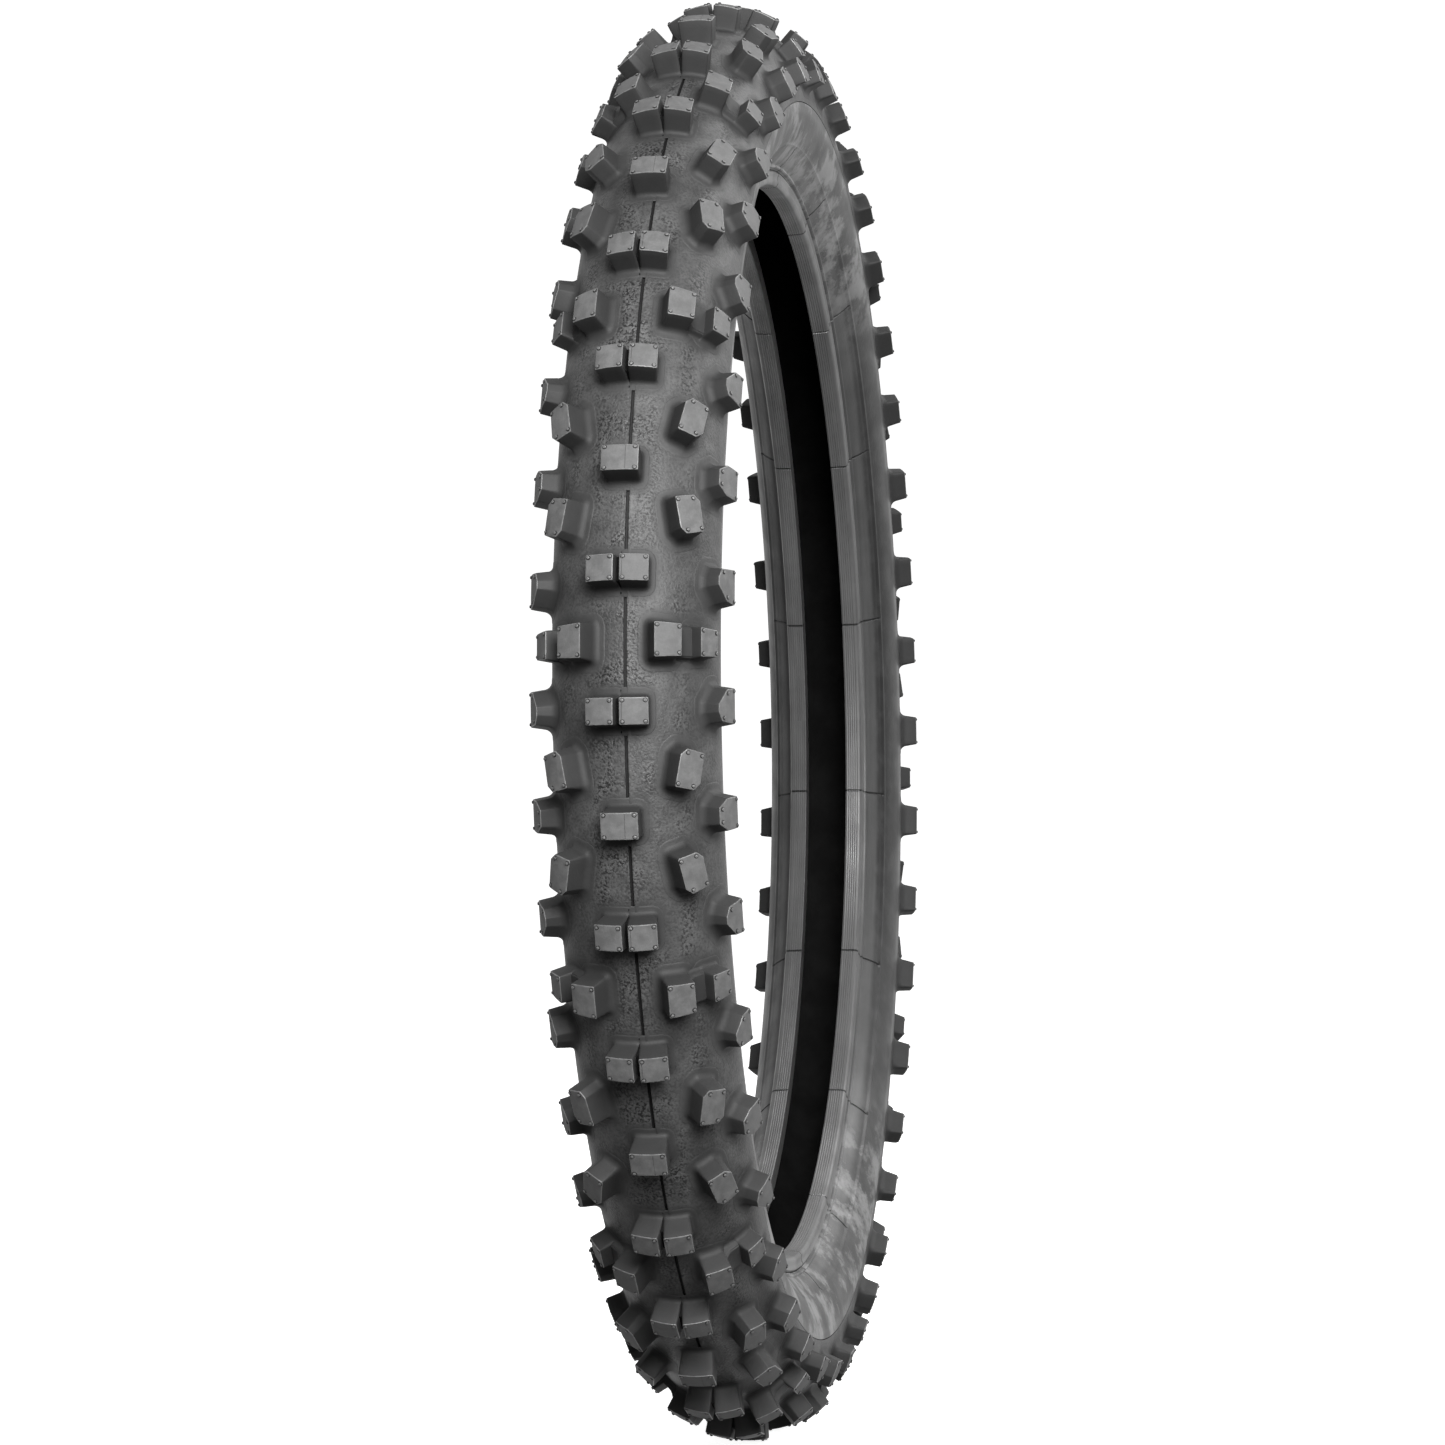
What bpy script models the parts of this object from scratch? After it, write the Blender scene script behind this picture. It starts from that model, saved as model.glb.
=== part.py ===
"""Knobbly off-road motorcycle tyre, 80/100-21 size, as nested rings from the tread in to the beads.

Metres, +Z up. The wheel axis is the Y axis and the wheel centre is the origin.
"""

import math

import bmesh
import bpy
from mathutils import Matrix, Vector

MM = 0.001
PERIODS = 14
PERIOD_DEG = 360.0 / PERIODS
STATIONS = 3 * PERIODS
TIE_ROW_DEG = 5.86

# The section is drawn round the centre of its outer arc, by a radius from there and an angle from the crown.
SECTION_CENTRE_R = 301.5
BASE_ARC = 36.0
ROOT_ARC = 34.1
PLY_THICKNESS = 0.8
CHAFER_THICKNESS = 1.2
LINER_THICKNESS = 0.7
SHARPEST_MITRE = 0.5
SHARP_EDGE_DEG = 35.0

# Angle from the crown and arc radius, one half of each section from the crown to the edge.
TREAD_OUTSIDE = tuple((angle, BASE_ARC) for angle in (0.0, 22.5, 45.0, 67.5, 90.0))
TREAD_INSIDE = ((0.0, 32.0), (22.5, 32.0), (45.0, 32.0), (67.5, 32.3), (88.0, 33.2))
BREAKER_LINE = ((0.0, 31.3), (22.5, 31.3), (45.0, 31.3))
OUTER_PLY_LINE = ((0.0, 30.2), (22.5, 30.2), (45.0, 30.2), (67.5, 31.2), (90.0, 32.3), (112.5, 32.6))
INNER_PLY_LINE = ((0.0, 29.1), (22.5, 29.1), (45.0, 29.1), (67.5, 30.1), (90.0, 31.2), (112.5, 31.4))
LINER_LINE = ((0.0, 28.0), (22.5, 28.0), (45.0, 28.0), (67.5, 29.0), (90.0, 30.1), (112.5, 30.3))
SIDEWALL_OUTSIDE_TOP = ((90.9, BASE_ARC), (112.5, BASE_ARC))
SIDEWALL_INSIDE_TOP = ((112.5, 33.4), (89.0, 33.4))

# Radius from the axle and distance from the centre plane, from there down to the bead.
OUTER_PLY_FOOT = ((279.0, 24.0), (273.8, 19.9))
INNER_PLY_FOOT = ((276.4, 17.2), (270.4, 13.0), (263.5, 13.0), (263.5, 18.1), (272.8, 18.1))
LINER_FOOT = ((277.2, 16.2), (272.6, 12.4))
CHAFER_LINE = ((269.2, 19.4), (262.6, 19.4), (261.8, 18.6), (261.5, 11.6), (271.2, 11.6))
SIDEWALL_OUTSIDE = ((276.9, 26.4), (270.9, 20.9), (269.5, 20.2))
SIDEWALL_INSIDE = ((269.5, 18.9), (271.8, 18.9), (278.0, 25.0))
BEAD_CORE_SECTION = ((264.4, 13.9), (269.4, 13.9), (269.4, 17.2), (264.4, 17.2))
BEAD_FILLER_SECTION = (
    (269.9, 14.0), (275.9, 17.9), (284.0, 25.7), (279.3, 23.1), (274.5, 19.2), (273.3, 17.3), (269.9, 17.3),
)

# Tread blocks: half lengths along the tread in degrees, at the top and at the root.
PAIR_DEG = 4.97
PAIR_LENGTH = (0.94, 1.17)
SINGLE_DEG = PERIOD_DEG / 2.0
SINGLE_LENGTH = (0.94, 1.17)
TIE_LENGTH = (1.12, 1.50)
PAIR_SECTION = (
    (-19.5, ROOT_ARC), (-16.4, 47.6), (-1.4, 48.5), (-1.2, 44.9),
    (1.2, 44.9), (1.4, 48.5), (16.4, 47.6), (19.5, ROOT_ARC), (0.0, ROOT_ARC),
)
SINGLE_SECTION = ((-12.5, ROOT_ARC), (-9.6, 48.2), (9.6, 48.2), (12.5, ROOT_ARC))
TIE_SECTION = (
    (14.5, ROOT_ARC), (19.6, 47.0), (34.3, 47.0), (37.5, 41.6), (44.0, 41.0),
    (47.8, 45.2), (60.8, 44.6), (66.5, ROOT_ARC), (49.0, ROOT_ARC), (32.0, ROOT_ARC),
)

# Top outlines: degrees along the tread from the tie row, degrees from the crown, arc radius.
CHAMFERED_TOP = (
    (8.04, 33.0, 47.2), (7.66, 36.8, 47.1), (8.06, 46.9, 47.0),
    (10.24, 43.9, 47.0), (10.64, 39.9, 47.1), (10.30, 29.4, 47.3),
)
SHOULDER_TOP = (
    (3.22, 77.2, 45.3), (3.36, 68.9, 45.0), (4.49, 61.4, 44.8),
    (5.10, 61.3, 44.8), (5.80, 64.0, 44.9), (6.04, 77.0, 45.3),
)
MID_SHOULDER_TOP = (
    (-1.25, 77.1, 45.3), (-1.24, 66.3, 45.0), (-0.63, 59.4, 44.8),
    (0.63, 59.4, 44.8), (1.24, 66.3, 45.0), (1.25, 77.1, 45.3),
)
CHAMFERED_DRAFT = (1.30, 1.22)
SHOULDER_DRAFT = (1.34, 1.28)

# Colour, roughness, depth of the speckle, grain scale and metallic value of each finish.
FINISHES = {
    "tread_rubber": ((0.040, 0.040, 0.041), 0.60, 0.3, 700.0, 0.0),
    "sidewall_rubber": ((0.033, 0.033, 0.034), 0.50, 0.2, 500.0, 0.0),
    "ply_fabric": ((0.070, 0.062, 0.050), 0.80, 0.4, 1200.0, 0.0),
    "liner_rubber": ((0.025, 0.025, 0.026), 0.45, 0.2, 300.0, 0.0),
    "bead_wire": ((0.450, 0.400, 0.300), 0.35, 0.2, 900.0, 1.0),
    "filler_rubber": ((0.025, 0.025, 0.026), 0.60, 0.2, 400.0, 0.0),
    "chafer_rubber": ((0.030, 0.030, 0.030), 0.70, 0.3, 1500.0, 0.0),
}
GRAIN_DETAIL = 4.0


def clear_scene():
    for obj in list(bpy.data.objects):
        bpy.data.objects.remove(obj, do_unlink=True)


def from_arc(angle_deg, arc):
    """Radius from the axle and distance from the centre plane, in mm."""
    angle = math.radians(angle_deg)
    return (SECTION_CENTRE_R + arc * math.cos(angle), arc * math.sin(angle))


def on_tyre(along_deg, angle_deg, arc):
    """A point in metres, from its place along the tread and its place in the section."""
    radius, across = from_arc(angle_deg, arc)
    along = math.radians(along_deg)
    return Vector((radius * math.cos(along), across, radius * math.sin(along))) * MM


def arc_line(points):
    return [from_arc(*point) for point in points]


def mirrored_outline(outline):
    return [(radius, -across) for radius, across in reversed(outline)]


def both_sides(half):
    """A line from crown to edge, continued on the other side of the centre plane."""
    return mirrored_outline(half[1:]) + list(half)


def strip_outline(line, thickness):
    """The closed outline of a strip that follows an open line."""
    points = [Vector(point) for point in line]
    half = thickness / 2.0
    near = []
    far = []
    for index, point in enumerate(points):
        before = points[max(index - 1, 0)]
        after = points[min(index + 1, len(points) - 1)]
        first = (point - before).normalized() if index else (after - point).normalized()
        second = (after - point).normalized() if index < len(points) - 1 else first
        bisector = (first + second).normalized()
        normal = Vector((-bisector.y, bisector.x))
        reach = half / max(bisector.dot(first), SHARPEST_MITRE)
        near.append(point + normal * reach)
        far.append(point - normal * reach)
    return [tuple(point) for point in near + far[::-1]]


def finish_material(name, slot):
    """Principled material with a fine grain in its colour."""
    colour, roughness, speckle, grain_scale, metallic = FINISHES[slot]
    material = bpy.data.materials.new(name)
    material.use_nodes = True
    nodes = material.node_tree.nodes
    links = material.node_tree.links
    shader = nodes["Principled BSDF"]
    place = nodes.new("ShaderNodeTexCoord")
    noise = nodes.new("ShaderNodeTexNoise")
    noise.inputs["Scale"].default_value = grain_scale
    noise.inputs["Detail"].default_value = GRAIN_DETAIL
    links.new(place.outputs["Object"], noise.inputs["Vector"])
    shade = nodes.new("ShaderNodeMix")
    shade.data_type = "RGBA"
    shade.inputs["A"].default_value = tuple(c * (1.0 - speckle) for c in colour) + (1.0,)
    shade.inputs["B"].default_value = tuple(c * (1.0 + speckle) for c in colour) + (1.0,)
    links.new(noise.outputs["Fac"], shade.inputs["Factor"])
    links.new(shade.outputs["Result"], shader.inputs["Base Color"])
    shader.inputs["Roughness"].default_value = roughness
    shader.inputs["Metallic"].default_value = metallic
    material.diffuse_color = tuple(colour) + (1.0,)
    return material


def mesh_object(name, bm):
    bmesh.ops.recalc_face_normals(bm, faces=bm.faces)
    mesh = bpy.data.meshes.new(name)
    bm.to_mesh(mesh)
    bm.free()
    mesh.shade_smooth()
    mesh.set_sharp_from_angle(angle=math.radians(SHARP_EDGE_DEG))
    obj = bpy.data.objects.new(name, mesh)
    bpy.context.scene.collection.objects.link(obj)
    return obj


def ring(name, outline, slot):
    """A closed outline turned once round the axle."""
    bm = bmesh.new()
    turn = Matrix.Rotation(-math.radians(TIE_ROW_DEG), 4, "Y")
    verts = [bm.verts.new(turn @ (Vector((radius, across, 0.0)) * MM)) for radius, across in outline]
    edges = [bm.edges.new((verts[i], verts[(i + 1) % len(verts)])) for i in range(len(verts))]
    bmesh.ops.spin(
        bm,
        geom=verts + edges,
        cent=(0.0, 0.0, 0.0),
        axis=(0.0, 1.0, 0.0),
        angle=2.0 * math.pi,
        steps=STATIONS,
        use_merge=True,
    )
    obj = mesh_object(name, bm)
    obj.data.materials.append(finish_material(name + "_finish", slot))
    return obj


def add_skin(bm, first, second):
    """Two matching loops, closed at both ends and joined by walls."""
    count = len(first)
    bm.faces.new(first)
    bm.faces.new(second[::-1])
    for i in range(count):
        after = (i + 1) % count
        bm.faces.new((first[i], second[i], second[after], first[after]))


def add_rib(bm, section, along_deg, lengths, side):
    """A section across the tread, drawn out along it, with drafted ends."""
    top_length, root_length = lengths
    low = min(arc for _, arc in section)
    high = max(arc for _, arc in section)
    ends = []
    for direction in (-1.0, 1.0):
        end = []
        for angle, arc in section:
            share = (arc - low) / (high - low)
            half = root_length + (top_length - root_length) * share
            end.append(bm.verts.new(on_tyre(along_deg + direction * half, side * angle, arc)))
        ends.append(end)
    add_skin(bm, ends[0], ends[1])


def add_post(bm, top, draft, along_deg, direction, side):
    """A block with a many-sided top and walls that spread towards the root."""
    draft_along, draft_across = draft
    middle_along = sum(point[0] for point in top) / len(top)
    middle_angle = sum(point[1] for point in top) / len(top)
    upper = []
    lower = []
    for along, angle, arc in top:
        root_along = middle_along + (along - middle_along) * draft_along
        root_angle = middle_angle + (angle - middle_angle) * draft_across
        upper.append(bm.verts.new(on_tyre(along_deg + direction * along, side * angle, arc)))
        lower.append(bm.verts.new(on_tyre(along_deg + direction * root_along, side * root_angle, ROOT_ARC)))
    add_skin(bm, lower, upper)


def tread_blocks():
    """Every block of the pattern, which repeats and mirrors about each tie row and about the centre plane."""
    bm = bmesh.new()
    for period in range(PERIODS):
        tie = TIE_ROW_DEG + period * PERIOD_DEG
        middle = tie + SINGLE_DEG
        add_rib(bm, SINGLE_SECTION, middle, SINGLE_LENGTH, 1.0)
        for side in (-1.0, 1.0):
            add_rib(bm, TIE_SECTION, tie, TIE_LENGTH, side)
            add_post(bm, MID_SHOULDER_TOP, SHOULDER_DRAFT, middle, 1.0, side)
        for direction in (-1.0, 1.0):
            add_rib(bm, PAIR_SECTION, tie + direction * PAIR_DEG, PAIR_LENGTH, 1.0)
            for side in (-1.0, 1.0):
                add_post(bm, CHAMFERED_TOP, CHAMFERED_DRAFT, tie, direction, side)
                add_post(bm, SHOULDER_TOP, SHOULDER_DRAFT, tie, direction, side)
    blocks = mesh_object("tread_blocks", bm)
    blocks.hide_render = True
    blocks.display_type = "WIRE"
    return blocks


def make_tread():
    outside = both_sides(arc_line(TREAD_OUTSIDE))
    inside = both_sides(arc_line(TREAD_INSIDE))
    tread = ring("tread", outside + inside[::-1], "tread_rubber")
    join = tread.modifiers.new("blocks", "BOOLEAN")
    join.operation = "UNION"
    join.solver = "EXACT"
    join.object = tread_blocks()


def make_carcass_strip(name, line, foot, thickness, slot):
    half = arc_line(line) + list(foot)
    ring(name, strip_outline(both_sides(half), thickness), slot)


def make_side_ring(name, outline, right, slot):
    ring(name, outline if right else mirrored_outline(outline), slot)


def sidewall_outline():
    outside = arc_line(SIDEWALL_OUTSIDE_TOP) + list(SIDEWALL_OUTSIDE)
    return outside + list(SIDEWALL_INSIDE) + arc_line(SIDEWALL_INSIDE_TOP)


def build():
    clear_scene()
    make_tread()
    make_carcass_strip("breaker_ply", BREAKER_LINE, (), PLY_THICKNESS, "ply_fabric")
    make_carcass_strip("casing_ply_outer", OUTER_PLY_LINE, OUTER_PLY_FOOT, PLY_THICKNESS, "ply_fabric")
    make_carcass_strip("casing_ply_inner", INNER_PLY_LINE, INNER_PLY_FOOT, PLY_THICKNESS, "ply_fabric")
    make_carcass_strip("inner_liner", LINER_LINE, LINER_FOOT, LINER_THICKNESS, "liner_rubber")
    chafer = strip_outline(CHAFER_LINE, CHAFER_THICKNESS)
    for side, right in (("left", False), ("right", True)):
        make_side_ring("sidewall_" + side, sidewall_outline(), right, "sidewall_rubber")
        make_side_ring("bead_core_" + side, BEAD_CORE_SECTION, right, "bead_wire")
        make_side_ring("bead_filler_" + side, BEAD_FILLER_SECTION, right, "filler_rubber")
        make_side_ring("chafer_" + side, chafer, right, "chafer_rubber")


build()
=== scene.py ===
"""Looks of the knobbly motorcycle tyre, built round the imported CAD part."""

import math

import bmesh
import bpy
import numpy as np
from mathutils import Matrix, Vector


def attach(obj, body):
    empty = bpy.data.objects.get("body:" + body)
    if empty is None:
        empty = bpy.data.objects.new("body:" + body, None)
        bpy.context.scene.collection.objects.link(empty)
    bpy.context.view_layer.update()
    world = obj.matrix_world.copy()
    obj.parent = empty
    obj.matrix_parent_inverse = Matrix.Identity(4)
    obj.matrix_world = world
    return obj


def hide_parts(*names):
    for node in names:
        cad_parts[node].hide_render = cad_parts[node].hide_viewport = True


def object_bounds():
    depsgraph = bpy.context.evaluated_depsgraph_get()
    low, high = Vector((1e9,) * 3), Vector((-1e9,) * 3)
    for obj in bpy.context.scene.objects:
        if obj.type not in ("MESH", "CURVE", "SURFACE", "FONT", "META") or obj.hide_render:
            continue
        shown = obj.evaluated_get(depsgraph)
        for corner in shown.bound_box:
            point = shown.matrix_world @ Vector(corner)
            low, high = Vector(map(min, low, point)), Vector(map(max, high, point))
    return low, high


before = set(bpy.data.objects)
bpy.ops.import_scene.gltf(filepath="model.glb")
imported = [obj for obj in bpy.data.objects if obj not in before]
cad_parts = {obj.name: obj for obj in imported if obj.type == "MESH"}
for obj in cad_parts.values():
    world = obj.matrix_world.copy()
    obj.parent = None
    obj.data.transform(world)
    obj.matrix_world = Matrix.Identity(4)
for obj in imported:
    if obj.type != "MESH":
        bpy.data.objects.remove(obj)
cad_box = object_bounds()

MM = 0.001
FAR = 1e9
WHITE = (1.0, 1.0, 1.0, 1.0)

# The pattern repeats round the tyre. Its rows lie at angles from a tie row, in degrees.
PERIODS = 14
PERIOD_DEG = 360.0 / PERIODS
TIE_ROW_DEG = 5.86
PAIR_DEG = 4.97
SINGLE_DEG = PERIOD_DEG / 2.0

# Stations round the wheel in a ring.
FINE_STEPS = 1008
COARSE_STEPS = 168
SIDEWALL_STEPS = 360

# The section is drawn round the centre of its outer arc, in mm. Block outlines turn from degrees
# into mm at METRIC_ARC, and shading round the blocks does so at FOOT_ARC.
SECTION_CENTRE_R = 301.5
BASE_ARC = 36.0
FOOT_ARC = BASE_ARC + 3.0
METRIC_ARC = 44.0

# Camera: metres, degrees, mm of lens and sensor, and shares of the picture's width.
CAMERA_DISTANCE = 2.2098
CAMERA_YAW_DEG = 9.159
CAMERA_ROLL_DEG = -1.04
CAMERA_LENS = 111.8
CAMERA_SENSOR = 36.0
CAMERA_SHIFT = (-0.0189, -0.0005)
CAMERA_REACH = 50.0

# Paint slots of the block meshes, in the order of the paints in build().
WALL, TOP, ROUNDED, SLIT = range(4)

# Block outlines: degrees along the tread, degrees from the crown. The chamfered and shoulder
# outlines run from the tie row, the others from the middle of their own row.
HALF_PAIR_TOP = ((-0.94, 1.6), (0.94, 1.6), (0.94, 16.4), (-0.94, 16.4))
SLIT_TOP = ((-0.88, -3.0), (0.88, -3.0), (0.88, 3.0), (-0.88, 3.0))
SINGLE_TOP = ((-0.94, -9.6), (0.94, -9.6), (0.94, 9.6), (-0.94, 9.6))
TIE_INNER_TOP = ((-1.24, 19.6), (1.24, 19.6), (1.14, 34.3), (-1.14, 34.3))
TIE_OUTER_TOP = ((-1.08, 47.8), (1.08, 47.8), (0.98, 60.8), (-0.98, 60.8))
CHAMFERED_TOP = ((8.04, 33.0), (7.66, 36.8), (8.06, 46.9), (10.24, 43.9), (10.64, 39.9), (10.30, 29.4))
SHOULDER_TOP = ((3.22, 77.2), (3.36, 68.9), (4.49, 61.2), (5.10, 61.2), (5.80, 64.0), (6.04, 77.0))
MID_SHOULDER_TOP = ((-1.25, 77.1), (-1.24, 66.3), (-0.63, 59.4), (0.63, 59.4), (1.24, 66.3), (1.25, 77.1))

# What a whole pair and a whole tie row cover, for the shading round them.
PAIR_COVER = ((-0.94, -16.4), (0.94, -16.4), (0.94, 16.4), (-0.94, 16.4))
TIE_COVER = ((-1.24, 19.6), (1.24, 19.6), (1.0, 60.8), (-1.0, 60.8))

# Kinds of block, in mm: height over the base, height at the outer edge where it differs, how far
# the walls lean out, and the fillet at the foot.
HALF_PAIR = {"top": HALF_PAIR_TOP, "height": 12.4, "outer": 11.7}
# The slit floor is painted near-black as painted shade.
SLIT_FLOOR = {"top": SLIT_TOP, "height": 7.6, "dark": True}
SINGLE = {"top": SINGLE_TOP, "height": 12.3}
TIE_INNER = {"top": TIE_INNER_TOP, "height": 11.2, "draft": 1.3, "fillet": 3.2}
TIE_OUTER = {"top": TIE_OUTER_TOP, "height": 9.0, "outer": 8.6}
CHAMFERED = {"top": CHAMFERED_TOP, "height": 11.1, "draft": 1.6, "fillet": 3.2}
SHOULDER = {"top": SHOULDER_TOP, "height": 8.8, "outer": 9.3, "draft": 1.5, "fillet": 3.6}
MID_SHOULDER = dict(SHOULDER, top=MID_SHOULDER_TOP)

# Every block, in mm: rounding of the top's edge and of the corners, rings of faces on the top as
# shares of its size, and how the foot flares, rises over the base and dips under it.
EDGE = 0.32
CORNER = 0.55
CORNER_STEPS = 3
OUTLINE_SPACING = 2.2
TOP_RINGS = (0.4, 0.75, 0.97)
WALL_SHARES = (0.35, 0.7, 1.0)
FILLET_TURN_DEG = 80.0
FILLET_STEPS = 6
FLARE = 0.06
LEDGE = 0.16
APRON = ((0.7, 0.0), (1.1, 0.12), (1.45, 0.5), (1.7, 1.0), (1.8, 1.5))
ROOT_DEPTH = 1.4

# Vent pips on the tops, as (radius, height) in mm, their tip, and how far in from a corner they sit.
PIP_PROFILE = ((0.36, 0.62), (0.64, 0.48), (0.76, 0.04), (1.05, 0.01), (1.05, -0.3))
# The ring round each pip's tip takes the painted highlight of the rounded edges, and its sides the painted
# shade of the walls.
PIP_MARKS = (ROUNDED, WALL, WALL, TOP, TOP)
PIP_TIP = 0.66
PIP_INSET = 1.75
PIP_SIDES = 8

# The mould's parting line, as flash on the crown blocks and as a groove in the base.
PARTING_TOP_DEG = 2.9
SEAM_HALF_DEG = 0.86
SEAM_PROFILE = ((0.13, 0.05), (0.02, 0.14), (-0.4, 0.14))
PARTING_DEG = 3.2
PARTING_SHAPE = ((-1.4, 0.0), (-1.05, -1.1), (0.55, -1.1), (1.0, 0.32), (1.7, 0.38), (3.2, 0.12))

# The saddle between the two blocks of a tie row: lowest at SADDLE_DEG and outwards of it.
SADDLE_FROM_DEG = 30.0
SADDLE_TO_DEG = 52.5
SADDLE_DEG = 41.5
SADDLE_BEND_DEG = 9.0
SADDLE_HEIGHT = 3.6
SADDLE_RISE = 5.0
SADDLE_MOST = 9.5
SADDLE_STATIONS = 13

# Lines along the inside of the layers, as (degrees from the crown, arc radius), and their feet
# and the bead's parts, as (wheel radius, distance from the centre plane).
TREAD_INSIDE = ((0.0, 32.0), (22.5, 32.0), (45.0, 32.0), (67.5, 32.3), (88.0, 33.2))
BREAKER_LINE = ((0.0, 31.3), (22.5, 31.3), (45.0, 31.3))
OUTER_PLY_LINE = ((0.0, 30.2), (22.5, 30.2), (45.0, 30.2), (67.5, 31.2), (90.0, 32.3), (112.5, 32.6))
INNER_PLY_LINE = ((0.0, 29.1), (22.5, 29.1), (45.0, 29.1), (67.5, 30.1), (90.0, 31.2), (112.5, 31.4))
LINER_LINE = ((0.0, 28.0), (22.5, 28.0), (45.0, 28.0), (67.5, 29.0), (90.0, 30.1), (112.5, 30.3))
OUTER_PLY_FOOT = ((279.0, 24.0), (273.8, 19.9))
INNER_PLY_FOOT = ((276.4, 17.2), (270.4, 13.0), (263.5, 13.0), (263.5, 18.1), (272.8, 18.1))
LINER_FOOT = ((277.2, 16.2), (272.6, 12.4))
PLY_THICKNESS = 0.8
LINER_THICKNESS = 0.7
BEAD_CORE_SECTION = ((264.4, 13.9), (269.4, 13.9), (269.4, 17.2), (264.4, 17.2))
BEAD_FILLER_SECTION = (
    (269.9, 14.0), (275.9, 17.9), (284.0, 25.7), (279.3, 23.1), (274.5, 19.2), (273.3, 17.3), (269.9, 17.3),
)
SIDEWALL_FOOT = (
    (281.2, 29.85), (280.4, 29.25), (279.9, 28.55), (279.2, 28.15), (277.6, 26.95), (275.6, 25.3),
    (273.9, 23.8), (272.6, 22.4), (272.1, 21.6), (271.6, 21.25), (271.1, 21.45), (270.6, 21.45),
    (270.2, 21.1), (270.0, 20.5), (269.8, 19.9), (269.5, 19.7),
)
SIDEWALL_INSIDE = ((269.5, 18.9), (271.8, 18.9), (278.0, 25.0))
SIDEWALL_INSIDE_ARC = ((112.5, 33.4), (100.0, 33.5), (89.2, 33.5))
CHAFER_FLANK = (
    (269.2, 19.4), (268.9, 19.8), (268.2, 20.3), (267.5, 20.3), (266.9, 19.9), (265.2, 19.75),
    (264.4, 19.9), (263.5, 19.9),
)
CHAFER_HEEL = ((262.7, 19.45), (262.1, 18.95), (261.8, 18.3))
CHAFER_TOE = ((261.1, 11.3), (261.3, 10.95), (261.9, 10.85), (263.0, 10.95), (271.0, 11.0))
CHAFER_INSIDE = ((271.2, 12.2), (262.2, 12.2), (262.5, 18.3), (263.1, 18.8), (269.2, 18.8))
SEAT_RIBS = 6

# Vent lines that cross the bead and lower sidewall: how many, where the first one is, half of
# their width, their depth, the wheel radii they cross, and the point that they sink towards.
VENT_LINES = 18
VENT_LINE_PHASE = 8.5
VENT_LINE_HALF_DEG = 0.07
SIDEWALL_VENT_DEPTH = 0.35
SIDEWALL_VENT_RADII = (269.4, 281.0)
CHAFER_VENT_DEPTH = 0.4
CHAFER_VENT_RADII = (260.0, 269.4)
VENT_AIM = (SECTION_CENTRE_R - 12.0, 8.0)

# Painted shade, stored on the vertices: 1 up to SHADE_START from a block, 0 past SHADE_REACH more;
# GROOVE_MARK below the base, where the groove is painted near-black as shade.
NEARNESS = "nearness"
SHADE_START = 1.6
SHADE_REACH = 9.5
SHADE_POWER = 1.5
GROOVE_LEVEL = -0.15
GROOVE_MARK = 2.0

# Tones, as linear grey: a pair runs from dark to pale.
BASE_TONE = (0.050, 0.085)
PIT_TONE = 0.006
SPECK_TONE = 0.14
# Painted shade at the feet of the blocks and on their walls.
BLOCK_SHADE_TONE = 0.020
# Painted shade in the parting groove.
GROOVE_SHADE_TONE = 0.002
# Painted light: the block tops are painted paler than the walls and base.
TOP_TONE = (0.092, 0.135)
FINE_TOP_TONE = 0.085
# Painted shade on the slit floor.
SLIT_SHADE_TONE = (0.003, 0.007)
# Painted highlight on the rounded edges of the blocks.
EDGE_HIGHLIGHT_TONE = (0.10, 0.17)
SIDEWALL_TONE = (0.056, 0.074)
BEAD_TONE = (0.085, 0.118)
DARK_TONE = 0.012
# Painted sheen on the sidewall at the top and bottom of the wheel.
SHEEN_TONE = 0.22
# Painted shade in the sunk vent lines.
VENT_LINE_SHADE_TONE = 0.004
LINER_TONE = (0.0035, 0.007)
FILLER_TONE = (0.018, 0.03)
PAPER_TONE = (0.90, 0.93)

# Where the marks on the rubber lie, in metres: from the centre plane, by wheel radius, by height.
CENTRE_BAND = (0.010, 0.020)
SIDE_BAND = 0.0235
SIDE_BAND_FADE = (0.0010, 0.0060)
DARK_BAND_INNER = (0.2765, 0.2795)
DARK_BAND_OUTER = (0.2960, 0.2995)
SHEEN_HEIGHT = (0.19, 0.25)

# Area lights: name, place and size in metres, watts.
LIGHTS = (
    ("key_light", (1.85, 0.75, 0.80), (1.1, 1.1), 68.0),
    ("front_light", (2.6, 0.4, 1.3), (1.2, 0.9), 34.0),
    ("back_light", (-1.2, 1.6, 1.6), (1.6, 1.6), 30.0),
)

# How bright the room is in front of the tyre and behind it, and the white that the camera sees.
FRONT_LIGHT = 0.13
BACK_LIGHT = 1.0
BACK_LIGHT_AT = -0.8
SEEN_WHITE = 1.05

# The paper sweep, in metres.
FLOOR_Z = cad_box[0][2] - 0.0005
SWEEP_FRONT = 4.0
SWEEP_DEPTH = 6.0
SWEEP_BEND = 2.0
SWEEP_TOP = 8.0
SWEEP_HALF_WIDTH = 9.0


# ---------------------------------------------------------------- places

def arc_point(angle_deg, arc):
    angle = math.radians(angle_deg)
    return (SECTION_CENTRE_R + arc * math.cos(angle), arc * math.sin(angle))


def arc_points(start_deg, end_deg, steps, arc):
    return [arc_point(start_deg + (end_deg - start_deg) * i / steps, arc) for i in range(steps + 1)]


def on_tyre(along_deg, angle_deg, height):
    """Points on or over the base, from degrees along, degrees from the crown and height in mm."""
    along = np.radians(along_deg)
    angle = np.radians(angle_deg)
    arc = BASE_ARC + np.asarray(height)
    radius = SECTION_CENTRE_R + arc * np.cos(angle)
    return np.stack([radius * np.cos(along), arc * np.sin(angle), radius * np.sin(along)], axis=-1) * MM


# ---------------------------------------------------------------- materials

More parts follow.
